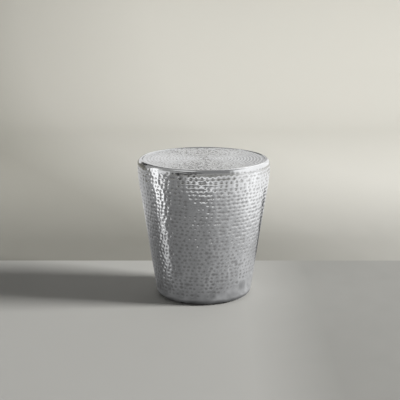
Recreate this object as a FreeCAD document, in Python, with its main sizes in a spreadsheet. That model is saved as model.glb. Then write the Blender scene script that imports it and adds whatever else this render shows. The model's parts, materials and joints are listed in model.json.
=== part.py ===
import FreeCAD, Part
import math
import os
import re
import Sketcher

# Drum side table: a hollow tapered drum of hammered aluminium sheet with a separate round top.
#
# The origin is the centre of the floor under the table, +Z is up, and the drum's axis is the Z axis.
# Turned pieces are sketched on the XZ plane, where x is the distance from the axis and y is the height.
#
# How it goes together, from the floor up: six glides are screwed under the foot's flange, into a plywood
# base ring that lies on the flange. A pressed base plate closes the foot from below. A steel angle ring is
# bonded inside the shoulder. The rim's skirt and the top's core stand on it, and screws hold the core down.

DIMENSIONS = {
    # The drum's sheet: one spinning with a rounded shoulder, a turned-down rim and a tucked foot.
    "table_height": 475.0,
    "drum_diameter": 450.0,
    "sheet_gauge": 1.5,
    "shoulder_radius": 15.0,
    "rim_bend_radius": 2.0,
    "belly_radius": 500.0,
    "wall_taper": 8.8,
    "foot_radius": 20.0,
    "flange_inner_radius": 132.0,
    # The top: a shallow aluminium pan over a fibreboard core.
    "core_thickness": 12.0,
    "core_clearance": 0.6,
    "top_clearance": 0.5,
    "pan_bend_radius": 2.0,
    "pan_skirt_depth": 8.0,
    # The steel angle that carries the top.
    "support_gauge": 2.5,
    "support_inner_radius": 188.0,
    "support_leg": 28.0,
    # The foot's stiffening ring and its closing plate.
    "base_ring_thickness": 12.0,
    "base_ring_inner_radius": 108.0,
    "base_ring_clearance": 0.2,
    "base_plate_clearance": 0.5,
    "dish_foot_radius": 104.0,
    "dish_radius": 98.0,
    "dish_depth": 5.0,
    # The glides.
    "glide_height": 4.0,
    "glide_radius": 8.5,
    "glide_chamfer": 1.0,
    "glide_web": 1.2,
    "glide_recess_radius": 4.2,
    # The pan-head screws, all of one size, and where they go.
    "screw_head_radius": 3.75,
    "screw_head_height": 2.2,
    "screw_socket_radius": 1.6,
    "screw_socket_depth": 1.3,
    "screw_shank_radius": 2.0,
    "screw_length": 12.0,
    "screw_point": 3.0,
    "clearance_hole_radius": 2.3,
    "flange_screw_circle": 137.5,
    "plate_screw_circle": 120.0,
    "core_screw_circle": 198.0,
}

# Levels and radii that follow from the driving dimensions.
FORMULAS = {
    "drum_radius": "drum_diameter / 2",
    "belly_level": "table_height - shoulder_radius",
    "rim_radius": "drum_radius - shoulder_radius",
    "rim_bend_level": "table_height - rim_bend_radius",
    "skirt_radius": "rim_radius - rim_bend_radius",
    "taper_top_radius": "drum_radius - belly_radius * (1 - cos(wall_taper))",
    "taper_top_level": "belly_level - belly_radius * sin(wall_taper)",
    "taper_foot_level": "glide_height + foot_radius * (1 - sin(wall_taper))",
    "taper_foot_radius": "taper_top_radius - tan(wall_taper) * (taper_top_level - taper_foot_level)",
    "foot_flat_radius": "taper_foot_radius - foot_radius * cos(wall_taper)",
    "gauge_inward": "sheet_gauge * cos(wall_taper)",
    "gauge_upward": "sheet_gauge * sin(wall_taper)",
    "flange_top": "glide_height + sheet_gauge",
    "core_top": "belly_level + core_thickness",
    "pan_top": "core_top + sheet_gauge",
    "pan_radius": "skirt_radius - top_clearance",
    "belly_centre_radius": "drum_radius - belly_radius",
    "leg_outer_arc": "belly_radius - sheet_gauge",
    "leg_inner_arc": "leg_outer_arc - support_gauge",
    "support_underside": "belly_level - support_gauge",
    "plate_radius": "flange_inner_radius - base_plate_clearance",
    "glide_seat": "glide_height - glide_web",
}

FLANGE_SCREWS = 6
PLATE_SCREWS = 6
CORE_SCREWS = 8
GLIDES = 6
FULL_TURN = 360.0
PLATE_SCREW_ANGLE = FULL_TURN / PLATE_SCREWS / 2
FOOT_SCREW_ANGLE = FULL_TURN / FLANGE_SCREWS / 2

doc = FreeCAD.newDocument("DrumSideTable")


def make_sheet():
    """Put each driving dimension in a row of the sheet, with its name as the cell's alias."""
    sheet = doc.addObject("Spreadsheet::Sheet", "Dims")
    for row, (name, value) in enumerate(DIMENSIONS.items(), start=1):
        sheet.set("A%d" % row, name)
        sheet.set("B%d" % row, str(value))
        sheet.setAlias("B%d" % row, name)
    doc.recompute()
    return sheet


sheet = make_sheet()


def bound(text):
    """Write a formula over the named dimensions as an expression over the sheet's cells."""
    def swap(match):
        name = match.group(0)
        if name in FORMULAS:
            return "(" + bound(FORMULAS[name]) + ")"
        if name in DIMENSIONS:
            return "Dims." + name
        return name
    return re.sub(r"[a-z_]+", swap, text)


def value_of(text):
    """The number that a formula gives with the sheet's present cells."""
    return float(sheet.evalExpression(bound(text)))


def make_body(label):
    body = doc.addObject("PartDesign::Body", label)
    body.Label = label
    return body


def origin_feature(body, role):
    """A plane or axis of the body's own origin."""
    return next(item for item in body.Origin.OriginFeatures if item.Role == role)


def sketch_on(body, role, name):
    sketch = body.newObject("Sketcher::SketchObject", name)
    sketch.AttachmentSupport = [(origin_feature(body, role), "")]
    sketch.MapMode = "FlatFace"
    return sketch


def bind(sketch, kind, where, text):
    """Add a dimension to a sketch and drive it by a formula."""
    index = sketch.addConstraint(Sketcher.Constraint(kind, *where, value_of(text)))
    sketch.setExpression("Constraints[%d]" % index, bound(text))


def place_point(sketch, geometry, point, across, up):
    """Hold one point of a sketch at the two formulas, measured from the sketch's origin."""
    for kind, axis, text in (("DistanceX", -2, across), ("DistanceY", -1, up)):
        if text == "0":
            sketch.addConstraint(Sketcher.Constraint("PointOnObject", geometry, point, axis))
        else:
            bind(sketch, kind, (-1, 1, geometry, point), text)


def bent_side(start, end, radius, anticlockwise):
    """The arc of under half a turn from start to end, and which of its ends is at start."""
    chord = end - start
    middle = (start + end) * 0.5
    left = FreeCAD.Vector(-chord.y, chord.x, 0) / chord.Length
    rise = math.sqrt(radius ** 2 - (chord.Length / 2) ** 2)
    side = 1 if anticlockwise else -1
    crown = middle + left * side * (rise - radius)
    return Part.Arc(start, crown, end), (1, 2) if anticlockwise else (2, 1)


def outline(sketch, corners):
    """Draw a closed outline, corner by corner.

    A corner is (distance formula, height formula), and then optionally "left" or "right" and the formula
    of a bend radius, if the side from it to the next corner is an arc that turns that way.
    """
    points = [FreeCAD.Vector(value_of(corner[0]), value_of(corner[1]), 0) for corner in corners]
    first = sketch.GeometryCount
    ends = []
    for number, corner in enumerate(corners):
        start = points[number]
        end = points[(number + 1) % len(points)]
        if len(corner) == 2:
            sketch.addGeometry(Part.LineSegment(start, end), False)
            ends.append((1, 2))
        else:
            arc, arc_ends = bent_side(start, end, value_of(corner[3]), corner[2] == "left")
            sketch.addGeometry(arc, False)
            ends.append(arc_ends)
    for number, corner in enumerate(corners):
        side = first + number
        following = (number + 1) % len(corners)
        sketch.addConstraint(Sketcher.Constraint("Coincident", side, ends[number][1],
                                                 first + following, ends[following][0]))
        place_point(sketch, side, ends[number][0], corner[0], corner[1])
        if len(corner) == 4:
            bind(sketch, "Radius", (side,), corner[3])


def turn(label, corners, own_axis=None):
    """A body turned from an outline, about the drum's axis or about an upright axis of its own."""
    body = make_body(label)
    sketch = sketch_on(body, "XZ_Plane", label + "_profile")
    axis = "V_Axis"
    if own_axis is not None:
        axis = "Axis0"
        foot = FreeCAD.Vector(value_of(own_axis), 0, 0)
        head = FreeCAD.Vector(value_of(own_axis), value_of("glide_height"), 0)
        line = sketch.addGeometry(Part.LineSegment(foot, head), True)
        place_point(sketch, line, 1, own_axis, "0")
        place_point(sketch, line, 2, own_axis, "glide_height")
    outline(sketch, corners)
    feature = body.newObject("PartDesign::Revolution", label + "_turned")
    feature.Profile = sketch
    feature.ReferenceAxis = (sketch, [axis])
    feature.Angle = FULL_TURN
    sketch.Visibility = False
    doc.recompute()
    return body


def repeat_round(body, feature, count):
    """Repeat a feature evenly about the drum's axis."""
    pattern = body.newObject("PartDesign::PolarPattern", feature.Name + "_ring")
    pattern.Originals = [feature]
    pattern.Axis = (origin_feature(body, "Z_Axis"), [""])
    pattern.Angle = FULL_TURN
    pattern.Occurrences = count
    body.Tip = pattern
    doc.recompute()


def drill_ring(body, name, circle, radius, top, count, angle=0.0):
    """Drill a ring of upright holes, from the floor's level up to a stated height."""
    whole = body.Shape.Volume
    sketch = sketch_on(body, "XY_Plane", name + "_circle")
    across = "%s * cos(%g)" % (circle, angle)
    along = "%s * sin(%g)" % (circle, angle) if angle else "0"
    centre = FreeCAD.Vector(value_of(across), value_of(along), 0)
    hole = sketch.addGeometry(Part.Circle(centre, FreeCAD.Vector(0, 0, 1), value_of(radius)), False)
    place_point(sketch, hole, 3, across, along)
    bind(sketch, "Radius", (hole,), radius)
    pocket = body.newObject("PartDesign::Pocket", name)
    pocket.Profile = sketch
    pocket.Reversed = True
    pocket.setExpression("Length", bound(top))
    sketch.Visibility = False
    doc.recompute()
    one = whole - body.Shape.Volume
    repeat_round(body, pocket, count)
    every = whole - body.Shape.Volume
    if one <= 0 or abs(every - count * one) > 0.01 * every:
        raise RuntimeError("%s removed %.2f and then %.2f cubic millimetres" % (name, one, every))


def drum_wall():
    """The drum: flange, tucked foot, straight taper, belly, shoulder, rim and the rim's inner skirt."""
    body = turn("drum_wall", [
        ("flange_inner_radius", "glide_height"),
        ("foot_flat_radius", "glide_height", "left", "foot_radius"),
        ("taper_foot_radius", "taper_foot_level"),
        ("taper_top_radius", "taper_top_level", "left", "belly_radius"),
        ("drum_radius", "belly_level", "left", "shoulder_radius"),
        ("rim_radius", "table_height", "left", "rim_bend_radius"),
        ("skirt_radius", "rim_bend_level"),
        ("skirt_radius", "belly_level"),
        ("skirt_radius + sheet_gauge", "belly_level"),
        ("skirt_radius + sheet_gauge", "rim_bend_level", "right", "rim_bend_radius - sheet_gauge"),
        ("rim_radius", "table_height - sheet_gauge", "right", "shoulder_radius - sheet_gauge"),
        ("drum_radius - sheet_gauge", "belly_level", "right", "belly_radius - sheet_gauge"),
        ("taper_top_radius - gauge_inward", "taper_top_level + gauge_upward"),
        ("taper_foot_radius - gauge_inward", "taper_foot_level + gauge_upward",
         "right", "foot_radius - sheet_gauge"),
        ("foot_flat_radius", "flange_top"),
        ("flange_inner_radius", "flange_top"),
    ])
    drill_ring(body, "flange_holes", "flange_screw_circle", "clearance_hole_radius",
               "flange_top + 1", FLANGE_SCREWS + GLIDES)


def top_plate():
    """The hammered top: a shallow pan that wraps the core's edge."""
    turn("top_plate", [
        ("0", "core_top"),
        ("pan_radius - pan_bend_radius", "core_top", "right", "pan_bend_radius - sheet_gauge"),
        ("pan_radius - sheet_gauge", "pan_top - pan_bend_radius"),
        ("pan_radius - sheet_gauge", "pan_top - pan_skirt_depth"),
        ("pan_radius", "pan_top - pan_skirt_depth"),
        ("pan_radius", "pan_top - pan_bend_radius", "left", "pan_bend_radius"),
        ("pan_radius - pan_bend_radius", "pan_top"),
        ("0", "pan_top"),
    ])


def top_core():
    """The fibreboard disc inside the pan, with pilot holes in its underside."""
    core_radius = "pan_radius - sheet_gauge - core_clearance"
    body = turn("top_core", [
        ("0", "belly_level"),
        (core_radius, "belly_level"),
        (core_radius, "core_top"),
        ("0", "core_top"),
    ])
    drill_ring(body, "core_pilots", "core_screw_circle", "screw_shank_radius",
               "support_underside + screw_length", CORE_SCREWS)


def support_ring():
    """The angle ring: a level flange under the core, and a leg that follows the belly's inner face."""
    body = turn("support_ring", [
        ("support_inner_radius", "support_underside"),
        ("belly_centre_radius + sqrt(leg_inner_arc^2 - support_gauge^2)", "support_underside",
         "right", "leg_inner_arc"),
        ("belly_centre_radius + sqrt(leg_inner_arc^2 - support_leg^2)", "belly_level - support_leg"),
        ("belly_centre_radius + sqrt(leg_outer_arc^2 - support_leg^2)", "belly_level - support_leg",
         "left", "leg_outer_arc"),
        ("drum_radius - sheet_gauge", "belly_level"),
        ("support_inner_radius", "belly_level"),
    ])
    drill_ring(body, "support_holes", "core_screw_circle", "clearance_hole_radius",
               "belly_level + 1", CORE_SCREWS)


def base_ring():
    """The plywood ring on the flange, with pilot holes for every screw in the foot."""
    outer_radius = "foot_flat_radius - base_ring_clearance"
    body = turn("base_ring", [
        ("base_ring_inner_radius", "flange_top"),
        (outer_radius, "flange_top"),
        (outer_radius, "flange_top + base_ring_thickness"),
        ("base_ring_inner_radius", "flange_top + base_ring_thickness"),
    ])
    drill_ring(body, "flange_pilots", "flange_screw_circle", "screw_shank_radius",
               "glide_height + screw_length", FLANGE_SCREWS + GLIDES)
    drill_ring(body, "plate_pilots", "plate_screw_circle", "screw_shank_radius",
               "glide_height + screw_length", PLATE_SCREWS, PLATE_SCREW_ANGLE)


def base_plate():
    """The pressed closing plate: a flat margin under the base ring and a raised middle."""
    body = turn("base_plate", [
        ("0", "glide_height + dish_depth"),
        ("dish_radius", "glide_height + dish_depth"),
        ("dish_foot_radius", "glide_height"),
        ("plate_radius", "glide_height"),
        ("plate_radius", "flange_top"),
        ("dish_foot_radius + sheet_gauge / 2", "flange_top"),
        ("dish_radius + sheet_gauge / 2", "flange_top + dish_depth"),
        ("0", "flange_top + dish_depth"),
    ])
    drill_ring(body, "plate_holes", "plate_screw_circle", "clearance_hole_radius",
               "flange_top + 1", PLATE_SCREWS, PLATE_SCREW_ANGLE)


def glide(number):
    """One moulded glide, turned about its own screw and swung to its place round the foot."""
    circle = "flange_screw_circle"
    body = turn("glide_%d" % (number + 1), [
        (circle + " + glide_recess_radius", "0"),
        (circle + " + glide_radius - glide_chamfer", "0"),
        (circle + " + glide_radius", "glide_chamfer"),
        (circle + " + glide_radius", "glide_height"),
        (circle + " + clearance_hole_radius", "glide_height"),
        (circle + " + clearance_hole_radius", "glide_seat"),
        (circle + " + glide_recess_radius", "glide_seat"),
    ], own_axis=circle)
    body.Placement.Rotation = FreeCAD.Rotation(FreeCAD.Vector(0, 0, 1), number * FULL_TURN / GLIDES)


def screws(label, circle, seat, count, angle=0.0):
    """A ring of pan-head screws with their points up; seat is the face that the heads bear on."""
    body = turn(label, [
        (circle, seat + " - screw_head_height + screw_socket_depth"),
        (circle + " + screw_socket_radius", seat + " - screw_head_height"),
        (circle + " + screw_head_radius", seat + " - screw_head_height"),
        (circle + " + screw_head_radius", seat),
        (circle + " + screw_shank_radius", seat),
        (circle + " + screw_shank_radius", seat + " + screw_length - screw_point"),
        (circle, seat + " + screw_length"),
    ], own_axis=circle)
    body.AllowCompound = True
    repeat_round(body, body.Tip, count)
    body.Placement.Rotation = FreeCAD.Rotation(FreeCAD.Vector(0, 0, 1), angle)


def check(body):
    """Stop if the body is failed, empty or invalid."""
    shape = body.Shape
    if shape.isNull() or not shape.isValid() or shape.Volume <= 0:
        raise RuntimeError("%s has no valid shape" % body.Label)


drum_wall()
top_plate()
top_core()
support_ring()
base_ring()
base_plate()
for number in range(GLIDES):
    glide(number)
screws("top_screws", "core_screw_circle", "support_underside", CORE_SCREWS)
screws("foot_screws", "flange_screw_circle", "glide_height", FLANGE_SCREWS, FOOT_SCREW_ANGLE)
screws("base_screws", "plate_screw_circle", "glide_height", PLATE_SCREWS, PLATE_SCREW_ANGLE)
screws("glide_screws", "flange_screw_circle", "glide_seat", GLIDES)
doc.recompute()

failed = [item.Label for item in doc.Objects if "Invalid" in item.State or "Error" in item.State]
if failed:
    raise RuntimeError("failed objects: " + ", ".join(failed))

bodies = [item for item in doc.Objects if item.TypeId == "PartDesign::Body"]
for body in bodies:
    check(body)

os.makedirs("parts", exist_ok=True)
for body in bodies:
    body.Shape.exportStep("parts/%s.step" % body.Label)
    print("%-14s %2d solids %12.1f cubic mm" % (body.Label, len(body.Shape.Solids), body.Shape.Volume))
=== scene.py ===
import json
import math

import bpy
import numpy as np
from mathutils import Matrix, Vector


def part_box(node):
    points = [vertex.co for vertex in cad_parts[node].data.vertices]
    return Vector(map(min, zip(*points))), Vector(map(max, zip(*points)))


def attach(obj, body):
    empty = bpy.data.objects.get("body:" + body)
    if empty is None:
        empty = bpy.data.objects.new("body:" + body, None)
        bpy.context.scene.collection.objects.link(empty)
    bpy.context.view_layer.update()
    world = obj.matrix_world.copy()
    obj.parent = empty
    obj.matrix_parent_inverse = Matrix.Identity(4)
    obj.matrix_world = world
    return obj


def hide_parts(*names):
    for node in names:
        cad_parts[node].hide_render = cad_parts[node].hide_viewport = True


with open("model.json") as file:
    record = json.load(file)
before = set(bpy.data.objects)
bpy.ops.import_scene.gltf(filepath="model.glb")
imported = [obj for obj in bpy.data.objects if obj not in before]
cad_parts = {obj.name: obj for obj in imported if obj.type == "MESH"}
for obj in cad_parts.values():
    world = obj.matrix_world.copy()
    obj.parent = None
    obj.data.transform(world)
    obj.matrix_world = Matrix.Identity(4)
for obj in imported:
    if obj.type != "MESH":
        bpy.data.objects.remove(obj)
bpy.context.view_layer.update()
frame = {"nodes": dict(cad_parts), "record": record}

MM = 0.001
BODY = "root"

# ---------------------------------------------------------------- sizes

# The drum's section has the solids' own sizes: a turned-down rim, a round shoulder, a belly that runs into a
# straight taper, and a round foot with a flange. RADIUS is at its widest, GLIDE the gap under the flange.
wall_low, wall_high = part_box("drum_wall")
HEIGHT = wall_high.z
RADIUS = round(wall_high.x, 4)
GLIDE = wall_low.z
GAUGE = 1.5 * MM
RIM_BEND = 2 * MM
SHOULDER = 15 * MM
BELLY = 500 * MM
TAPER = math.radians(8.8)
FOOT = 20 * MM
FLANGE_EDGE = 132 * MM

# Where those stretches meet: distances from the axis, heights, or both as a point.
RIM_RADIUS = RADIUS - SHOULDER
BELLY_LEVEL = HEIGHT - SHOULDER
FOOT_LEVEL = GLIDE + FOOT
TAPER_TOP = (RADIUS - BELLY * (1 - math.cos(TAPER)), BELLY_LEVEL - BELLY * math.sin(TAPER))
TAPER_FOOT_LEVEL = FOOT_LEVEL - FOOT * math.sin(TAPER)
TAPER_FOOT = (TAPER_TOP[0] - math.tan(TAPER) * (TAPER_TOP[1] - TAPER_FOOT_LEVEL), TAPER_FOOT_LEVEL)
FOOT_CENTRE = TAPER_FOOT[0] - FOOT * math.cos(TAPER)

# The top is a shallow pan: a flat face, a bend round its edge and a skirt under that.
pan_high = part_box("top_plate")[1]
PAN_LEVEL = pan_high.z
PAN_RADIUS = round(pan_high.x, 4)
PAN_BEND = 2 * MM
PAN_SKIRT = 8 * MM

# The drum's hammering: the pitch of its rings of dents, the pitch round a ring, and one dent's size. The
# hammer's face is oblong, so a dent reaches further round the drum than up it. The deepest dents stop just
# short of the sheet's inner face.
DRUM_SEED = 11
RING_PITCH = 13 * MM
ROUND_PITCH = 17.8 * MM
DENT_DEPTH = 1.25 * MM
DENT_FLOOR = 1.4 * MM
DENT_REACH = 4.7 * MM
DENT_WIDTH = 1.3

# Each blow also draws the sheet down round its dent, in a wide shallow bowl: its reach as a multiple of the
# dent's, and its share of the depth. No blow reaches past this many pitches from its ring.
BOWL_REACH = 1.9
BOWL_SHARE = 0.45
BLOW_SPAN = 1.5

# What the hand varies: a dent's depth and reach as shares of them, its place round the ring as a share of
# the step from dent to dent, and its place up the drum as a share of the pitch.
DENT_SPREAD = 0.32
REACH_SPREAD = 0.09
STRAY = 0.11
RISE = 0.05

# The first ring lies this far past the rim's bend, with shallower dents, and the last ends short of the
# flange's edge by the stretch that the foot keeps smooth.
FIRST_RING = 23 * MM
FIRST_SHARE = 0.6
SMOOTH_FOOT = 30 * MM

# The hammering ends above the foot on a slanted line, lowest at the back and highest on the right front. A
# dent has its full depth from SMOOTH_EASE above that line.
SMOOTH_LOW = 22 * MM
SMOOTH_HIGH = 92 * MM
SMOOTH_HIGHEST = math.radians(75)
SMOOTH_SWEEP = math.radians(82)
SMOOTH_EASE = 9 * MM

# The sheet isn't quite true: shallow upright waves, by their number round the drum.
WAVE_TURNS = (13, 22, 34, 49, 63)
WAVE = 2.6 * MM
WAVE_LEAN = 30.0
WAVE_EASE = 22 * MM

# The top's hammering runs in rings about the centre and leaves a bare border.
PLATE_SEED = 23
PLATE_RING_PITCH = 11 * MM
PLATE_PITCH = 8 * MM
PLATE_DEPTH = 0.6 * MM
PLATE_REACH = 4.2 * MM
PLATE_SPREAD = 0.15
PLATE_BORDER = 4 * MM

# The mesh: rows to a ring of dents, as shares of a pitch, columns round each piece, and how far both are
# drawn towards the dents. The rim's bend, the shoulder above the first ring and the foot have rows of their
# own, and each stretch of the section is first measured at this many points.
RING_ROWS = np.array([-0.4, -0.2, 0.0, 0.2, 0.4])
RIM_ROWS = 5
SHOULDER_ROWS = 5
FOOT_ROWS = 9
DRUM_COLUMNS = 480
PLATE_COLUMNS = 900
GATHER = 0.45
SECTION_POINTS = 200


# ---------------------------------------------------------------- surfaces

def arc(centre, radius, start, end, count):
    """Points and outward normals of an arc: centre + radius (cos a, sin a), a from start to end degrees."""
    angle = np.radians(np.linspace(start, end, count))
    normal = np.stack([np.cos(angle), np.sin(angle)], 1)
    return np.array(centre) + radius * normal, normal


def straight(start, end, count):
    """Points evenly along a line, start (1 - s) + end s, with the normal that lies left of its run."""
    share = np.linspace(0, 1, count)[:, None]
    points = np.array(start) * (1 - share) + np.array(end) * share
    along = (np.array(end) - np.array(start)) / np.linalg.norm(np.array(end) - np.array(start))
    return points, np.repeat([[-along[1], along[0]]], count, 0)


def chain(*stretches):
    """Join stretches of a section end to end, without the second point of each joint."""
    points = np.concatenate([stretches[0][0]] + [stretch[0][1:] for stretch in stretches[1:]])
    normals = np.concatenate([stretches[0][1]] + [stretch[1][1:] for stretch in stretches[1:]])
    return points, normals


def lengths(points):
    """Distance along a section from its first point to each point: the sum of the steps so far."""
    return np.concatenate([[0], np.cumsum(np.linalg.norm(np.diff(points, axis=0), axis=1))])


def at_distances(points, normals, wanted):
    """The section's points and normals at the wanted distances along it, straight between its points."""
    along = lengths(points)
    pick = [np.interp(wanted, along, values) for values in (*points.T, *normals.T)]
    return np.stack(pick[:2], 1), np.stack(pick[2:], 1)


def mesh_object(name, points, quads, smooth=True):
    """A mesh object from an array of points and an array of four-cornered faces.

    A corner equal to the one before it is left out, so a face at a pole is a triangle.
    """
    kept = quads != np.roll(quads, 1, axis=1)
    corners = quads[kept]
    sizes = kept.sum(1)
    mesh = bpy.data.meshes.new(name)
    mesh.vertices.add(len(points))
    mesh.vertices.foreach_set("co", np.asarray(points, np.float32).ravel())
    mesh.loops.add(len(corners))
    mesh.loops.foreach_set("vertex_index", corners.astype(np.int32))
    mesh.polygons.add(len(quads))
    mesh.polygons.foreach_set("loop_start", (np.cumsum(sizes) - sizes).astype(np.int32))
    mesh.polygons.foreach_set("loop_total", sizes.astype(np.int32))
    mesh.polygons.foreach_set("use_smooth", np.full(len(quads), smooth))
    mesh.update(calc_edges=True)
    mesh.validate()
    piece = bpy.data.objects.new(name, mesh)
    bpy.context.scene.collection.objects.link(piece)
    return piece


def grid_quads(rows, columns, closed_rows=False, closed_columns=False):
    """The faces of a grid of points, numbered row by row: a point, the one beside it, and the two above.

    A closed grid's last line joins its first.
    """
    row = np.arange(rows if closed_rows else rows - 1)[:, None]
    column = np.arange(columns if closed_columns else columns - 1)[None, :]
    above = (row + 1) % rows
    beside = (column + 1) % columns
    return np.stack([row * columns + column, row * columns + beside,
                     above * columns + beside, above * columns + column], -1).reshape(-1, 4)


def add_value(piece, name, values):
    """Give each point of a mesh one number that its material reads by name."""
    held = piece.data.attributes.new(name, "FLOAT", "POINT")
    held.data.foreach_set("value", np.asarray(values, np.float32).ravel())


def turned(name, section, normals, inward, dent, angle, closed):
    """A surface of revolution whose points are pushed inwards along the section's normals.

    The point is (r, z) - inward(row, column) * normal, turned by angle(row, column) about Z.
    A closed section joins its last row to its first; an open one ends in a pole at each end.
    The mesh also holds how deep each point lies in a dent, for the painted shade that its material puts
    there.
    """
    rows, columns = angle.shape
    r = section[:, 0, None] - inward * normals[:, 0, None]
    z = section[:, 1, None] - inward * normals[:, 1, None]
    points = np.stack([r * np.sin(angle), -r * np.cos(angle), z], -1).reshape(-1, 3)
    quads = grid_quads(rows, columns, closed_rows=closed, closed_columns=True)
    if not closed:
        last_pole = (rows - 1) * columns
        quads = np.where(quads < columns, 0, quads)
        quads = np.where(quads >= last_pole, last_pole, quads)
        used, quads = np.unique(quads, return_inverse=True)
        quads = quads.reshape(-1, 4)
        points = points[used]
        dent = dent.reshape(-1)[used]
    piece = mesh_object(name, points, quads)
    add_value(piece, "dent", dent)
    return piece


def gathered(share):
    """Draw a place s, -0.5 to 0.5 of a pitch from the nearest dent, towards that dent.

    It becomes s - GATHER sin(2 pi s) / (2 pi).
    """
    return share - GATHER / (2 * np.pi) * np.sin(2 * np.pi * share)


def eased(share):
    """Zero at 0, one at 1, level at both ends: 3 s^2 - 2 s^3."""
    share = np.clip(share, 0, 1)
    return share * share * (3 - 2 * share)


class DentRing:
    """One ring of dents: where each one is round the ring, how far it strays, its reach and its depth."""

    def __init__(self, random, level, radius, pitch, reach, depth, spread):
        """As many dents as fit the circle, 2 pi radius / pitch, and each one's own share of the spreads."""
        count = max(3, int(round(2 * np.pi * radius / pitch)))
        self.level = level
        self.step = 2 * np.pi / count
        self.start = random.uniform(0, self.step)
        self.stray = random.normal(0, STRAY, count) * self.step
        self.rise = random.normal(0, RISE, count) * pitch
        self.reach = random.normal(1, REACH_SPREAD, count) * reach
        self.depth = random.normal(1, spread, count) * depth

    def places(self):
        """The angle of each dent: start + step * number + stray."""
        return self.start + self.step * np.arange(len(self.stray)) + self.stray

    def nearest(self, angle, beside=0):
        """The number of the nearest dent, or of one beside it, and the angle from that dent."""
        place = np.round((angle - self.start) / self.step).astype(int) + beside
        which = place % len(self.stray)
        return which, angle - self.start - place * self.step - self.stray[which]

    def drawn(self, angle):
        """The columns' angles, each gathered towards its nearest dent."""
        away = self.nearest(angle)[1]
        return angle - away + self.step * gathered(away / self.step)

    def sunk(self, along, radius, angle):
        """How deep the ring's dents lie at each point.

        A dent is depth (1 - d^2)^2, where d is the distance over the reach, and its bowl has the same form.
        """
        total = np.zeros(angle.shape)
        for beside in (-1, 0, 1):
            which, away = self.nearest(angle, beside)
            across = away * radius[:, None] / (DENT_WIDTH * self.reach[which])
            up = (along[:, None] - self.level - self.rise[which]) / self.reach[which]
            apart = across ** 2 + up ** 2
            dent = np.clip(1 - apart, 0, None) ** 2
            bowl = np.clip(1 - apart / BOWL_REACH ** 2, 0, None) ** 2
            total += self.depth[which] * ((1 - BOWL_SHARE) * dent + BOWL_SHARE * bowl)
        return total


def even_angles(rows, columns):
    """The same evenly spaced angles for each of the rows."""
    return np.tile(np.linspace(0, 2 * np.pi, columns, endpoint=False), (rows, 1))


def dent_rows(levels, pitch):
    """Where the rows lie along the section: RING_ROWS about each ring of dents, gathered towards it."""
    return (levels[:, None] + pitch * gathered(RING_ROWS)).ravel()


def hammered(along, radius, rings, pitch, columns):
    """The angle and the depth of each point of a hammered face, row by row and column by column.

    The rows within half a pitch of a ring have their columns drawn to its dents. A point's depth is the sum
    of the rings within BLOW_SPAN pitches of it.
    """
    angle = even_angles(len(along), columns)
    for ring in rings:
        rows = np.abs(along - ring.level) < pitch / 2
        angle[rows] = ring.drawn(angle[rows])
    depth = np.zeros(angle.shape)
    for ring in rings:
        rows = np.abs(along - ring.level) < BLOW_SPAN * pitch
        depth[rows] += ring.sunk(along[rows], radius[rows], angle[rows])
    return angle, depth


def uneven(random, along, angle):
    """What hand work leaves of the round: upright waves, each a sine round the drum that leans a little.

    A wave is WAVE / turns * sin(turns angle + lean along + phase), eased to nothing at the section's ends.
    """
    total = np.zeros(angle.shape)
    for turns in WAVE_TURNS:
        lean = random.uniform(-WAVE_LEAN, WAVE_LEAN)
        phase = random.uniform(0, 2 * np.pi)
        total += WAVE / turns * np.sin(turns * angle + lean * along[:, None] + phase)
    ends = eased(along / WAVE_EASE) * eased((along[-1] - along) / WAVE_EASE)
    return total * ends[:, None]


def hammering_end(angle):
    """The height where the hammering ends: SMOOTH_LOW, eased up to SMOOTH_HIGH at SMOOTH_HIGHEST."""
    away = np.abs((angle - SMOOTH_HIGHEST + np.pi) % (2 * np.pi) - np.pi)
    return SMOOTH_LOW + (SMOOTH_HIGH - SMOOTH_LOW) * eased(1 - away / SMOOTH_SWEEP)


def drum_outer():
    """The drum's outer section: rim, shoulder, belly, taper and foot, each an arc but for the straight taper.

    The length of the rim's bend comes with it.
    """
    degrees = math.degrees(TAPER)
    bend, shoulder, belly, foot = (
        arc((RIM_RADIUS, HEIGHT - RIM_BEND), RIM_BEND, 180, 90, SECTION_POINTS),
        arc((RIM_RADIUS, BELLY_LEVEL), SHOULDER, 90, 0, SECTION_POINTS),
        arc((RADIUS - BELLY, BELLY_LEVEL), BELLY, 0, -degrees, SECTION_POINTS),
        arc((FOOT_CENTRE, FOOT_LEVEL), FOOT, -degrees, -90, SECTION_POINTS),
    )
    taper = straight(TAPER_TOP, TAPER_FOOT, SECTION_POINTS)
    return chain(bend, shoulder, belly, taper, foot), lengths(bend[0])[-1]


def drum_inner():
    """The rest of the drum's section: the flange's edge, the inner face one gauge in, and the rim's skirt."""
    degrees = math.degrees(TAPER)
    normal = np.array([math.cos(TAPER), -math.sin(TAPER)])
    taper_foot, taper_top = (np.array(end) - GAUGE * normal for end in (TAPER_FOOT, TAPER_TOP))
    face = chain(
        arc((FOOT_CENTRE, FOOT_LEVEL), FOOT - GAUGE, -90, -degrees, count=4),
        straight(taper_foot, taper_top, count=2),
        arc((RADIUS - BELLY, BELLY_LEVEL), BELLY - GAUGE, -degrees, 0, count=3),
        arc((RIM_RADIUS, BELLY_LEVEL), SHOULDER - GAUGE, 0, 90, count=4),
        arc((RIM_RADIUS, HEIGHT - RIM_BEND), RIM_BEND - GAUGE, 90, 180, count=2),
    )[0]
    skirt = RIM_RADIUS - RIM_BEND
    return np.concatenate([
        [[FLANGE_EDGE, GLIDE], [FLANGE_EDGE, GLIDE + GAUGE]], face,
        [[skirt + GAUGE, BELLY_LEVEL], [skirt, BELLY_LEVEL]],
    ])


def with_plain(face, plain):
    """A hammered face's values, then a zero for each point of the plain rows.

    The rows are turned end for end, so that the faces of the mesh point outwards.
    """
    return np.concatenate([face, np.zeros((len(plain), face.shape[1]))])[::-1]


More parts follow.
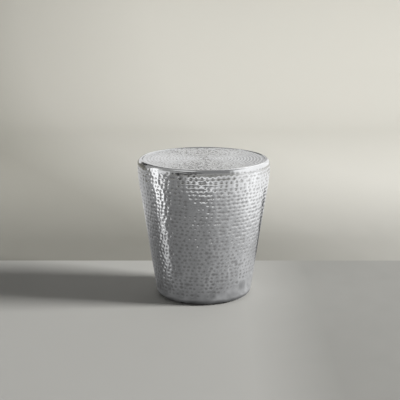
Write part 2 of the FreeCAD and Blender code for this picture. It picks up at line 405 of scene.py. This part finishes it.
def drum_wall():
    """The hammered drum: outer face from the rim's bend to the flange, then back up the plain inner face."""
    outer, rim_top = drum_outer()
    whole = lengths(outer[0])[-1]
    levels = np.arange(rim_top + FIRST_RING, whole - SMOOTH_FOOT, RING_PITCH)
    ring_rows = dent_rows(levels, RING_PITCH)
    along = np.concatenate([
        np.linspace(0, rim_top, RIM_ROWS),
        np.linspace(rim_top, ring_rows[0], SHOULDER_ROWS)[1:-1],
        ring_rows,
        np.linspace(ring_rows[-1], whole, FOOT_ROWS)[1:],
    ])
    face, face_normals = at_distances(*outer, along)

    random = np.random.default_rng(DRUM_SEED)
    ring_radii, ring_heights = at_distances(*outer, levels)[0].T
    rings = [DentRing(random, level, radius, ROUND_PITCH, DENT_REACH, DENT_DEPTH, DENT_SPREAD)
             for level, radius in zip(levels, ring_radii)]
    for ring, height in zip(rings, ring_heights):
        ring.depth *= eased((height - hammering_end(ring.places())) / SMOOTH_EASE)
    rings[0].depth *= FIRST_SHARE
    angle, dent = hammered(along, face[:, 0], rings, RING_PITCH, DRUM_COLUMNS)
    inward = np.minimum(dent + uneven(random, along, angle), DENT_FLOOR)

    rest = drum_inner()
    section = np.concatenate([face, rest])[::-1]
    angle = np.concatenate([angle, even_angles(len(rest), DRUM_COLUMNS)])[::-1]
    return turned("hammered_drum", section, with_plain(face_normals, rest), with_plain(inward, rest),
                  with_plain(dent, rest), angle, closed=True)


def top_plate():
    """The hammered top: a shallow pan, from the middle of its face out and round to its underside."""
    flat_edge = PAN_RADIUS - PAN_BEND
    levels = np.arange(PLATE_RING_PITCH / 2, flat_edge - PLATE_BORDER, PLATE_RING_PITCH)
    along = np.concatenate([[0], dent_rows(levels, PLATE_RING_PITCH), [flat_edge]])
    random = np.random.default_rng(PLATE_SEED)
    rings = [DentRing(random, level, level, PLATE_PITCH, PLATE_REACH, PLATE_DEPTH, PLATE_SPREAD)
             for level in levels]
    angle, dent = hammered(along, along, rings, PLATE_RING_PITCH, PLATE_COLUMNS)
    dent[0] = 0
    face = np.stack([along, np.full(len(along), PAN_LEVEL)], 1)
    upward = np.tile([0.0, 1.0], (len(face), 1))

    bend_centre = (flat_edge, PAN_LEVEL - PAN_BEND)
    skirt_level = PAN_LEVEL - PAN_SKIRT
    rest = np.concatenate([
        arc(bend_centre, PAN_BEND, 90, 0, count=6)[0][1:],
        [[PAN_RADIUS, skirt_level], [PAN_RADIUS - GAUGE, skirt_level]],
        arc(bend_centre, PAN_BEND - GAUGE, 0, 90, count=3)[0],
        [[0, PAN_LEVEL - GAUGE]],
    ])
    section = np.concatenate([face, rest])[::-1]
    angle = np.concatenate([angle, even_angles(len(rest), PLATE_COLUMNS)])[::-1]
    inward = with_plain(dent, rest)
    return turned("hammered_top", section, with_plain(upward, rest), inward, inward, angle, closed=False)


# ---------------------------------------------------------------- finishes

# A noise lies mostly between these values, and a grained finish takes its tones from the narrower pair.
NOISE_LOW, NOISE_HIGH = 0.3, 0.7
TONE_LOW, TONE_HIGH = 0.35, 0.65

# The colour sockets of a Mix node, which share their names with its other sockets.
COLOUR_A, COLOUR_B, COLOUR_OUT = 6, 7, 2

# The aluminium: patches where the polishing wheel leaned longer, the fine grain it leaves, how deep a dent is
# where its painted shade begins and where it is whole, and the roughness of least and most polish.
POLISH_PATCH = 71.4 * MM
POLISH_GRAIN = 2.38 * MM
POLISH_RELIEF = 0.05 * MM
DENT_SHADE_BEGINS = 0.25 * MM
DENT_SHADE_WHOLE = 0.95 * MM
LEAST_POLISH, MOST_POLISH = 0.16, 0.11

# The plywood has nine plies in 12 mm, and every second one shows its darker end grain at the edge.
PLY = 12 * MM / 9
END_GRAIN_SHARE = 0.6
END_GRAIN_EDGE = 0.3

# How strongly a grained finish's relief shows, the grain of the zinc, and how much its clouds dull it.
RELIEF_STRENGTH = 0.6
ZINC_GRAIN = 0.8 * MM
ZINC_DULLING = 0.08


def srgb(code):
    """A linear colour from an sRGB hex code: each part over 12.92, or ((c + 0.055) / 1.055)^2.4."""
    parts = [int(code[i:i + 2], 16) / 255 for i in (1, 3, 5)]
    return [p / 12.92 if p <= 0.04045 else ((p + 0.055) / 1.055) ** 2.4 for p in parts] + [1.0]


def add_node(tree, kind, inputs=None, stops=(), **settings):
    """One node with its settings. An input is a value, or the socket that it is linked from.

    A colour ramp also takes its (position, colour) stops, in rising order.
    """
    made = tree.nodes.new(kind)
    for name, value in settings.items():
        setattr(made, name, value)
    for name, value in (inputs or {}).items():
        if isinstance(value, bpy.types.NodeSocket):
            tree.links.new(value, made.inputs[name])
        else:
            made.inputs[name].default_value = value
    if stops:
        elements = made.color_ramp.elements
        elements[0].position, elements[0].color = stops[0]
        elements[1].position, elements[1].color = stops[-1]
        for position, colour in stops[1:-1]:
            elements.new(position).color = colour
    return made


def new_finish(name):
    """An empty material, its Principled shader, and object coordinates in metres."""
    material = bpy.data.materials.new(name)
    material.use_nodes = True
    tree = material.node_tree
    shader = next(n for n in tree.nodes if n.type == "BSDF_PRINCIPLED")
    place = add_node(tree, "ShaderNodeTexCoord").outputs["Object"]
    return material, tree, shader, place


def hammered_aluminium():
    """Polished aluminium sheet: a bright ground, and painted shade in the dents, a darker colour where they
    are deep.
    """
    material, tree, shader, place = new_finish("polished_aluminium")
    dent = add_node(tree, "ShaderNodeAttribute", attribute_name="dent").outputs["Fac"]
    painted_dent_shade = add_node(tree, "ShaderNodeMapRange", {
        "Value": dent, "From Min": DENT_SHADE_BEGINS, "From Max": DENT_SHADE_WHOLE}).outputs["Result"]
    patches = add_node(tree, "ShaderNodeTexNoise", {
        "Vector": place, "Scale": 1 / POLISH_PATCH, "Detail": 4.0}).outputs["Fac"]
    ground = add_node(tree, "ShaderNodeValToRGB", {"Fac": patches}, stops=[
        (NOISE_LOW, srgb("#CACBCC")), (NOISE_HIGH, srgb("#D6D7D8"))]).outputs["Color"]
    # Painted shade: the dents take a darker colour, the more so the deeper they lie.
    tone = add_node(tree, "ShaderNodeMix", {
        "Factor": painted_dent_shade, COLOUR_A: ground, COLOUR_B: srgb("#B2B2B2")}, data_type="RGBA").outputs[COLOUR_OUT]
    tree.links.new(tone, shader.inputs["Base Color"])
    rough = add_node(tree, "ShaderNodeMapRange", {
        "Value": patches, "From Min": NOISE_LOW, "From Max": NOISE_HIGH,
        "To Min": LEAST_POLISH, "To Max": MOST_POLISH})
    tree.links.new(rough.outputs["Result"], shader.inputs["Roughness"])
    grain = add_node(tree, "ShaderNodeTexNoise", {"Vector": place, "Scale": 1 / POLISH_GRAIN, "Detail": 3.0})
    bump = add_node(tree, "ShaderNodeBump", {
        "Height": grain.outputs["Fac"], "Strength": 0.25, "Distance": POLISH_RELIEF})
    tree.links.new(bump.outputs["Normal"], shader.inputs["Normal"])
    shader.inputs["Metallic"].default_value = 1.0
    return material


def grained(name, tones, grain, raised, stretch=(1, 1, 1), detail=3.0, raised_grain=None):
    """A finish whose colour runs between two tones with a noise of the stated grain, in metres.

    Along each axis the grain is as many times longer as the stretch says. The same noise, or one of the
    raised grain where that is given, raises the surface by the stated depth where it is 1.
    """
    material, tree, shader, place = new_finish(name)
    drawn_out = add_node(tree, "ShaderNodeMapping", {
        "Vector": place, "Scale": [1 / part for part in stretch]})
    noise = add_node(tree, "ShaderNodeTexNoise", {
        "Vector": drawn_out.outputs["Vector"], "Scale": 1 / grain, "Detail": detail}).outputs["Fac"]
    colour = add_node(tree, "ShaderNodeValToRGB", {"Fac": noise}, stops=[
        (TONE_LOW, srgb(tones[0])), (TONE_HIGH, srgb(tones[1]))]).outputs["Color"]
    tree.links.new(colour, shader.inputs["Base Color"])
    height = noise
    if raised_grain:
        height = add_node(tree, "ShaderNodeTexNoise", {
            "Vector": place, "Scale": 1 / raised_grain}).outputs["Fac"]
    bump = add_node(tree, "ShaderNodeBump", {
        "Height": height, "Strength": RELIEF_STRENGTH, "Distance": raised})
    tree.links.new(bump.outputs["Normal"], shader.inputs["Normal"])
    return material, tree, shader, place, noise, colour


def raw_fibreboard():
    """Medium-density fibreboard, pressed and sanded: a matt tan face flecked with fibres 1.5 mm long."""
    material, _, shader, *_ = grained("raw_fibreboard", ("#8C6E4B", "#AD8E67"), grain=0.7 * MM,
                                      raised=0.06 * MM, stretch=(2.2, 1, 1), detail=5.0)
    shader.inputs["Roughness"].default_value = 0.85
    return material


def birch_plywood():
    """Birch plywood, peeled and glued: pale faces streaked every 3 mm, and an edge of plies 1.3 mm thick.

    The edge's tone is a sine of the height with half a turn to a ply.
    """
    material, tree, shader, place, _, along_grain = grained(
        "birch_plywood", ("#B8925C", "#D0B080"), grain=3 * MM, raised=0.08 * MM, stretch=(25, 1, 1),
        detail=5.0)
    height = add_node(tree, "ShaderNodeSeparateXYZ", {"Vector": place}).outputs["Z"]
    turn = add_node(tree, "ShaderNodeMath", {0: height, 1: math.pi / PLY}, operation="MULTIPLY")
    ply = add_node(tree, "ShaderNodeMath", {0: turn.outputs["Value"]}, operation="SINE").outputs["Value"]
    end_grain = add_node(tree, "ShaderNodeMapRange", {
        "Value": ply, "From Min": -END_GRAIN_EDGE, "From Max": END_GRAIN_EDGE,
        "To Min": 0.0, "To Max": END_GRAIN_SHARE}).outputs["Result"]
    tone = add_node(tree, "ShaderNodeMix", {
        "Factor": end_grain, COLOUR_A: along_grain, COLOUR_B: srgb("#8F6A3C")}, data_type="RGBA")
    tree.links.new(tone.outputs[COLOUR_OUT], shader.inputs["Base Color"])
    shader.inputs["Roughness"].default_value = 0.7
    return material


def zinc_plating(name, cloud, roughness):
    """Steel plated with bright zinc: a thin bluish skin, clouded where the bath left it thicker."""
    material, tree, shader, _, clouds, _ = grained(
        name, ("#9B9FA4", "#B9BCC0"), cloud, raised=0.02 * MM, detail=4.0, raised_grain=ZINC_GRAIN)
    dulled = add_node(tree, "ShaderNodeMapRange", {
        "Value": clouds, "From Min": NOISE_LOW, "From Max": NOISE_HIGH,
        "To Min": roughness + ZINC_DULLING, "To Max": roughness})
    tree.links.new(dulled.outputs["Result"], shader.inputs["Roughness"])
    shader.inputs["Metallic"].default_value = 1.0
    return material


def black_powder_coat():
    """Steel with a baked powder coat: satin black, with an orange-peel skin of 1.2 mm swellings."""
    material, _, shader, *_ = grained("black_powder_coat", ("#171718", "#1F2021"), grain=1.2 * MM,
                                      raised=0.05 * MM, detail=1.0)
    shader.inputs["Roughness"].default_value = 0.45
    return material


def moulded_nylon():
    """Black nylon, moulded in an etched tool: an even matt grain 0.5 mm across."""
    material, _, shader, *_ = grained("moulded_black_nylon", ("#131314", "#1D1D1E"), grain=0.5 * MM,
                                      raised=0.03 * MM)
    shader.inputs["Roughness"].default_value = 0.58
    return material


# ---------------------------------------------------------------- stage and light

# The camera: focal length and frame in pixels, sensor in millimetres, place in metres, tilt in degrees.
FOCAL_PIXELS = 1171
FRAME_PIXELS = 400
SENSOR = 36
CAMERA_PLACE = (-0.0127, -3.907, 1.214)
CAMERA_TILT = 12.77

# The stage: a floor as far as PAPER_EDGE behind the table's axis, then backdrop paper that runs on to a cove
# and up to its top. Their tones are painted shade: the floor darkens to the right, the paper lightens to the
# right and to the back.
STAGE_REACH = 8.0
PAPER_EDGE = 0.403
COVE_START = 3.4
COVE = 1.0
COVE_POINTS = 17
PAPER_TOP = 2.6
FLOOR_SPAN = (0.14, 0.38)
FLOOR_SHADED_TONES = [(0.0, "#BFBEB9"), (1.0, "#A09F9A")]
PAPER_HEADING = (2, 1, 0)
PAPER_SPAN = (0, 4)
PAPER_SHADED_TONES = [(0.1, "#949289"), (0.45, "#B2B0A8"), (0.9, "#C0BEB6")]

# A painted reflection of the light on the floor round the table, dim on the left and bright on the window's
# side, as its brightness at the left, front, right and back: close to the table and a stride away. At the
# foot it is a share of the close one, and under the foot's edge a painted shadow, a shade of that. Each pair
# is where one zone runs over into the next.
POOL_NEAR = (0.15, 0.30, 0.75, 0.35)
POOL_FAR = (0.30, 0.25, 1.50, 0.80)
POOL_BRIGHTEST = 1.5
FOOT_SHARE = 0.8
CONTACT_SHADE = 0.35
CONTACT_EDGE = (0.15, 0.19)
FOOT_EDGE = (0.24, 0.32)
NEAR_EDGE = (0.6, 1.2)

# Its brightness is blotched by this much, in blotches of this size. The ring's rows of points, with how much
# of the glow each has, its columns, and how far it lies over the floor.
UNEVEN = 0.35
BLOTCH = 70 * MM
POOL_RADII = (0.135, 0.3, 1.2, 2.2, 2.6)
POOL_COVER = (1.0, 1.0, 1.0, 1.0, 0.0)
POOL_COLUMNS = 96
POOL_LIFT = 2 * MM

# A card's points along each side, its sharpest fade, and how far a card on the floor lies over it.
CARD_POINTS = 33
SHARPEST_FADE = 0.001
CARD_LIFT = 4 * MM

# The air's brightness for matt surfaces and in the metal; the camera sees it whole.
AIR_LIGHT = 0.12
AIR_IN_METAL = 0.62


def sweep(name, outline, reach, heading, span, tones):
    """A stage sheet: an outline of (y, z) points carried along X, from -reach to reach.

    Its tones are (share, colour) pairs. The share runs from 0 to 1 over the span, where a point's place in
    the span is the sum of its coordinates, each times the heading's.
    """
    outline = np.array(outline)
    sides = [np.column_stack([np.full(len(outline), x), outline]) for x in (-reach, reach)]
    sheet = mesh_object(name, np.concatenate(sides), grid_quads(2, len(outline))[:, ::-1])
    material, tree, shader, place = new_finish(name)
    along = add_node(tree, "ShaderNodeVectorMath", {0: place, 1: heading}, operation="DOT_PRODUCT")
    share = add_node(tree, "ShaderNodeMapRange", {
        "Value": along.outputs["Value"], "From Min": span[0], "From Max": span[1]})
    colour = add_node(tree, "ShaderNodeValToRGB", {"Fac": share.outputs["Result"]},
                      stops=[(where, srgb(code)) for where, code in tones])
    tree.links.new(colour.outputs["Color"], shader.inputs["Base Color"])
    shader.inputs["Roughness"].default_value = 0.8
    sheet.data.materials.append(material)


def paper_outline():
    """The backdrop's outline: level, then a quarter circle of radius COVE up from it, then upright."""
    angle = np.radians(np.linspace(-90, 0, COVE_POINTS))
    cove = [(COVE_START + COVE * math.cos(a), COVE + COVE * math.sin(a)) for a in angle]
    return [(PAPER_EDGE, 0)] + cove + [(COVE_START + COVE, PAPER_TOP)]


def soft_box(name, place, aim, size, radiance, in_metal=True):
    """A rectangular lamp whose face has the stated radiance: its power is radiance * pi * width * height.

    The camera doesn't see it, and the polished metal doesn't mirror it where in_metal is False.
    """
    lamp = bpy.data.lights.new(name, "AREA")
    lamp.shape = "RECTANGLE"
    lamp.size, lamp.size_y = size
    lamp.energy = radiance * math.pi * size[0] * size[1]
    box = bpy.data.objects.new(name, lamp)
    bpy.context.scene.collection.objects.link(box)
    box.location = place
    box.rotation_euler = (Vector(aim) - Vector(place)).to_track_quat("-Z", "Y").to_euler()
    box.visible_camera = False
    box.visible_glossy = in_metal


def only_reflected(card, cover):
    """Make a stage piece a painted reflection, glowing or black, for the polished metal alone, in place of a
    studio's card.

    Its cover, a number for each point, fades it out where it is below one.
    """
    material = bpy.data.materials.new(card.name)
    material.use_nodes = True
    tree = material.node_tree
    tree.nodes.clear()
    add_value(card, "cover", cover)
    share = add_node(tree, "ShaderNodeAttribute", attribute_name="cover").outputs["Fac"]
    glow = add_node(tree, "ShaderNodeEmission")
    clear = add_node(tree, "ShaderNodeBsdfTransparent")
    mixed = add_node(tree, "ShaderNodeMixShader", {
        "Fac": share, 1: clear.outputs["BSDF"], 2: glow.outputs["Emission"]})
    add_node(tree, "ShaderNodeOutputMaterial", {"Surface": mixed.outputs["Shader"]})
    card.data.materials.append(material)
    card.visible_camera = False
    card.visible_diffuse = False
    card.visible_shadow = False
    return tree, glow


def reflected_card(name, corners, level, fade):
    """An evenly glowing or black card whose edges fade over the stated shares of its width and height.

    A point is the corners a, b, c, d blended: (a (1 - u) + b u) (1 - v) + (d (1 - u) + c u) v.
    """
    side = np.linspace(0, 1, CARD_POINTS)
    u, v = (share[..., None] for share in np.meshgrid(side, side))
    a, b, c, d = (np.array(corner) for corner in corners)
    points = (a * (1 - u) + b * u) * (1 - v) + (d * (1 - u) + c * u) * v
    card = mesh_object(name, points.reshape(-1, 3), grid_quads(CARD_POINTS, CARD_POINTS), smooth=False)
    across, up = (eased(np.minimum(share, 1 - share) / max(reach, SHARPEST_FADE))
                  for share, reach in zip((u, v), fade))
    glow = only_reflected(card, across * up)[1]
    glow.inputs["Color"].default_value = [level, level, level, 1]


def zone_edge(tree, place, edge):
    """Zero nearer the axis than the edge's first distance, one beyond its second, eased between."""
    apart = add_node(tree, "ShaderNodeVectorMath", {0: place}, operation="LENGTH").outputs["Value"]
    return add_node(tree, "ShaderNodeMapRange", {
        "Value": apart, "From Min": edge[0], "From Max": edge[1]},
        interpolation_type="SMOOTHSTEP").outputs["Result"]


def round_table(levels):
    """A ramp's stops that run evenly from level to level: left, front, right, back, and the left again."""
    return [(side / len(levels), [levels[side % len(levels)] / POOL_BRIGHTEST] * 3 + [1])
            for side in range(len(levels) + 1)]


def light_pool():
    """A flat ring on the floor, r (cos a, sin a): a painted reflection whose glow changes round the table and
    zone by zone.
    """
    angle = np.linspace(0, 2 * np.pi, POOL_COLUMNS, endpoint=False)
    radius = np.array(POOL_RADII)[:, None]
    lift = np.full((len(POOL_RADII), POOL_COLUMNS), POOL_LIFT)
    points = np.stack([radius * np.cos(angle), radius * np.sin(angle), lift], -1)
    quads = grid_quads(len(POOL_RADII), POOL_COLUMNS, closed_columns=True)[:, ::-1]
    pool = mesh_object("light_pool", points.reshape(-1, 3), quads)
    tree, glow = only_reflected(pool, np.repeat(POOL_COVER, POOL_COLUMNS))
    place = add_node(tree, "ShaderNodeTexCoord").outputs["Object"]
    turn = add_node(tree, "ShaderNodeTexGradient", {"Vector": place}, gradient_type="RADIAL").outputs["Fac"]
    at_foot = [FOOT_SHARE * level for level in POOL_NEAR]
    foot, near, far = (
        add_node(tree, "ShaderNodeValToRGB", {"Fac": turn}, stops=round_table(levels)).outputs["Color"]
        for levels in (at_foot, POOL_NEAR, POOL_FAR))
    inside = add_node(tree, "ShaderNodeMix", {
        "Factor": zone_edge(tree, place, FOOT_EDGE), COLOUR_A: foot, COLOUR_B: near}, data_type="RGBA")
    whole = add_node(tree, "ShaderNodeMix", {
        "Factor": zone_edge(tree, place, NEAR_EDGE), COLOUR_A: inside.outputs[COLOUR_OUT], COLOUR_B: far},
        data_type="RGBA")
    lit = add_node(tree, "ShaderNodeMapRange", {
        "Value": zone_edge(tree, place, CONTACT_EDGE), "To Min": CONTACT_SHADE})
    shaded = add_node(tree, "ShaderNodeMix", {
        "Factor": lit.outputs["Result"], COLOUR_A: srgb("#000000"), COLOUR_B: whole.outputs[COLOUR_OUT]},
        data_type="RGBA")
    tree.links.new(shaded.outputs[COLOUR_OUT], glow.inputs["Color"])
    blotches = add_node(tree, "ShaderNodeTexNoise", {"Vector": place, "Scale": 1 / BLOTCH, "Detail": 4.0})
    strength = add_node(tree, "ShaderNodeMapRange", {
        "Value": blotches.outputs["Fac"], "From Min": NOISE_LOW, "From Max": NOISE_HIGH,
        "To Min": POOL_BRIGHTEST * (1 - UNEVEN), "To Max": POOL_BRIGHTEST * (1 + UNEVEN)})
    tree.links.new(strength.outputs["Result"], glow.inputs["Strength"])


def upright(x0, y0, x1, y1, low, high):
    """The corners of an upright card that stands on the line from (x0, y0) to (x1, y1)."""
    return [(x0, y0, low), (x1, y1, low), (x1, y1, high), (x0, y0, high)]


def overhead(x0, y0, x1, y1, level):
    """The corners of a card that hangs level over a rectangle of the floor."""
    return [(x0, y0, level), (x1, y0, level), (x1, y1, level), (x0, y1, level)]


def on_floor(*corners):
    """The corners of a card that lies on the floor, from their (x, y)."""
    return [(x, y, CARD_LIFT) for x, y in corners]


def camera():
    """The camera stands in front, a little above the top, and looks down at the drum."""
    data = bpy.data.cameras.new("camera")
    data.sensor_width = SENSOR
    data.lens = FOCAL_PIXELS / FRAME_PIXELS * SENSOR
    made = bpy.data.objects.new("camera", data)
    bpy.context.scene.collection.objects.link(made)
    made.location = CAMERA_PLACE
    made.rotation_euler = (math.radians(90 - CAMERA_TILT), 0, 0)
    bpy.context.scene.camera = made


def studio_air():
    """The world: the camera and the metal see a pale tone, and matt surfaces get a little light from it."""
    world = bpy.data.worlds.new("studio")
    world.use_nodes = True
    tree = world.node_tree
    shader = next(n for n in tree.nodes if n.type == "BACKGROUND")
    shader.inputs["Color"].default_value = srgb("#D1D1CF")
    path = add_node(tree, "ShaderNodeLightPath")
    glossy = add_node(tree, "ShaderNodeMix", {
        "Factor": path.outputs["Is Glossy Ray"], "A": AIR_LIGHT, "B": AIR_IN_METAL})
    strength = add_node(tree, "ShaderNodeMix", {
        "Factor": path.outputs["Is Camera Ray"], "A": glossy.outputs["Result"], "B": 1.0})
    tree.links.new(strength.outputs["Result"], shader.inputs["Strength"])
    bpy.context.scene.world = world


# Painted reflections, glowing or black cards that only the polished metal mirrors: name, corners in metres,
# brightness, and fades across and up.
CARDS = [
    # A tall bright strip on the left and its light on the floor draw the bright line down the drum's left.
    ("strip_left", [(-0.8, -0.33, 0), (-0.8, -0.10, 0), (-0.8, 0.18, 1.1), (-0.8, -0.08, 1.1)], 1.6,
     (0.15, 0.0)),
    ("strip_floor", on_floor((-0.95, -0.35), (-0.95, 0.10), (-0.22, -0.105), (-0.22, -0.175)), 0.82,
     (0.45, 0.4)),
    # A dark one on the floor, behind on the right, draws the dark edge there.
    ("black_floor_card", on_floor((0.28, 0.22), (1.2, 0.9), (0.65, 1.35), (0.15, 0.32)), 0.1, (0.2, 0.3)),
    # Beside and before the table: pale ones left and right, a low bright one in front, and a black flag.
    ("window_left", upright(-1.6, -0.9, -1.6, 0.3, 0.12, 1.3), 1.0, (0.1, 0.05)),
    ("low_card_front", upright(-0.95, -1.08, 0.98, -1.08, 0.0, 0.26), 1.45, (0.5, 0.5)),
    ("black_flag_front", upright(-2.4, -2.0, -0.35, -2.4, 0.0, 1.6), 0.05, (0.2, 0.3)),
    ("white_card_right", upright(1.6, -1.6, 1.6, 3.4, 0.0, 2.6), 1.3, (0.22, 0.16)),
    # Behind the table, side by side and one over the other, for the top.
    ("grey_card_back", upright(-3.0, 4.2, 0.5, 4.2, 0.75, 1.95), 0.86, (0.08, 0.15)),
    ("dim_card_back", upright(-0.6, 4.3, 1.1, 4.3, 0.75, 1.95), 0.50, (0.1, 0.15)),
    ("white_card_back", upright(0.9, 4.1, 2.4, 4.1, 0.4, 2.1), 1.05, (0.15, 0.1)),
    ("black_flag_back", upright(-4.2, 4.1, 0.5, 4.1, 1.95, 3.7), 0.05, (0.05, 0.12)),
    ("white_card_high", upright(0.35, 4.2, 3.8, 4.2, 1.95, 5.5), 1.5, (0.06, 0.08)),
    # Overhead, for the shoulder and the dents' upper sides.
    ("white_ceiling", overhead(0.8, -0.7, 3.8, 3.0, 2.6), 1.4, (0.3, 0.15)),
    ("grey_ceiling", overhead(-0.5, -4.0, 3.8, 1.5, 2.7), 0.28, (0.1, 0.1)),
    ("black_ceiling", overhead(-1.8, -4.0, 0.0, -0.7, 2.75), 0.08, (0.15, 0.1)),
]


# ---------------------------------------------------------------- the table

camera()

aluminium = hammered_aluminium()
drum = drum_wall()
plate = top_plate()
for piece, node in ((drum, "drum_wall"), (plate, "top_plate")):
    piece.data.materials.append(aluminium)
    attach(piece, BODY)
    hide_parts(node)

FINISHES = {
    "fibreboard": raw_fibreboard(),
    "plywood": birch_plywood(),
    "zinc_steel": zinc_plating("zinc_plated_angle", cloud=14 * MM, roughness=0.34),
    "screw_steel": zinc_plating("zinc_plated_screws", cloud=3 * MM, roughness=0.28),
    "black_steel": black_powder_coat(),
    "glide_plastic": moulded_nylon(),
}
slots = {row["node"]: row["material_slot"] for row in frame["record"]["subparts"]}
for name, part in frame["nodes"].items():
    if slots[name] in FINISHES:
        part.data.materials.clear()
        part.data.materials.append(FINISHES[slots[name]])

# ---------------------------------------------------------------- the studio

# Both sheets carry painted shade in their tone ramps.
sweep("floor", [(-STAGE_REACH, 0), (PAPER_EDGE, 0)], STAGE_REACH, (1, 0, 0), FLOOR_SPAN, FLOOR_SHADED_TONES)
sweep("backdrop", paper_outline(), STAGE_REACH, PAPER_HEADING, PAPER_SPAN, PAPER_SHADED_TONES)

# A window high up and far off on the right casts the shadow, a soft box overhead fills it, and a third
# lights the backdrop.
soft_box("key_right", (18.0, -2.7, 9.6), (0, 0, 0.2), (5.7, 5.7), 57.0, in_metal=False)
soft_box("overhead", (0, -0.2, 2.8), (0, 0, 0), (2.4, 1.8), 0.4)
soft_box("backdrop_wash", (0, 1.3, 2.0), (0, 4.0, 1.2), (6.0, 1.5), 2.4)

light_pool()
for card in CARDS:
    reflected_card(*card)

studio_air()
bpy.context.scene.view_settings.view_transform = "Standard"
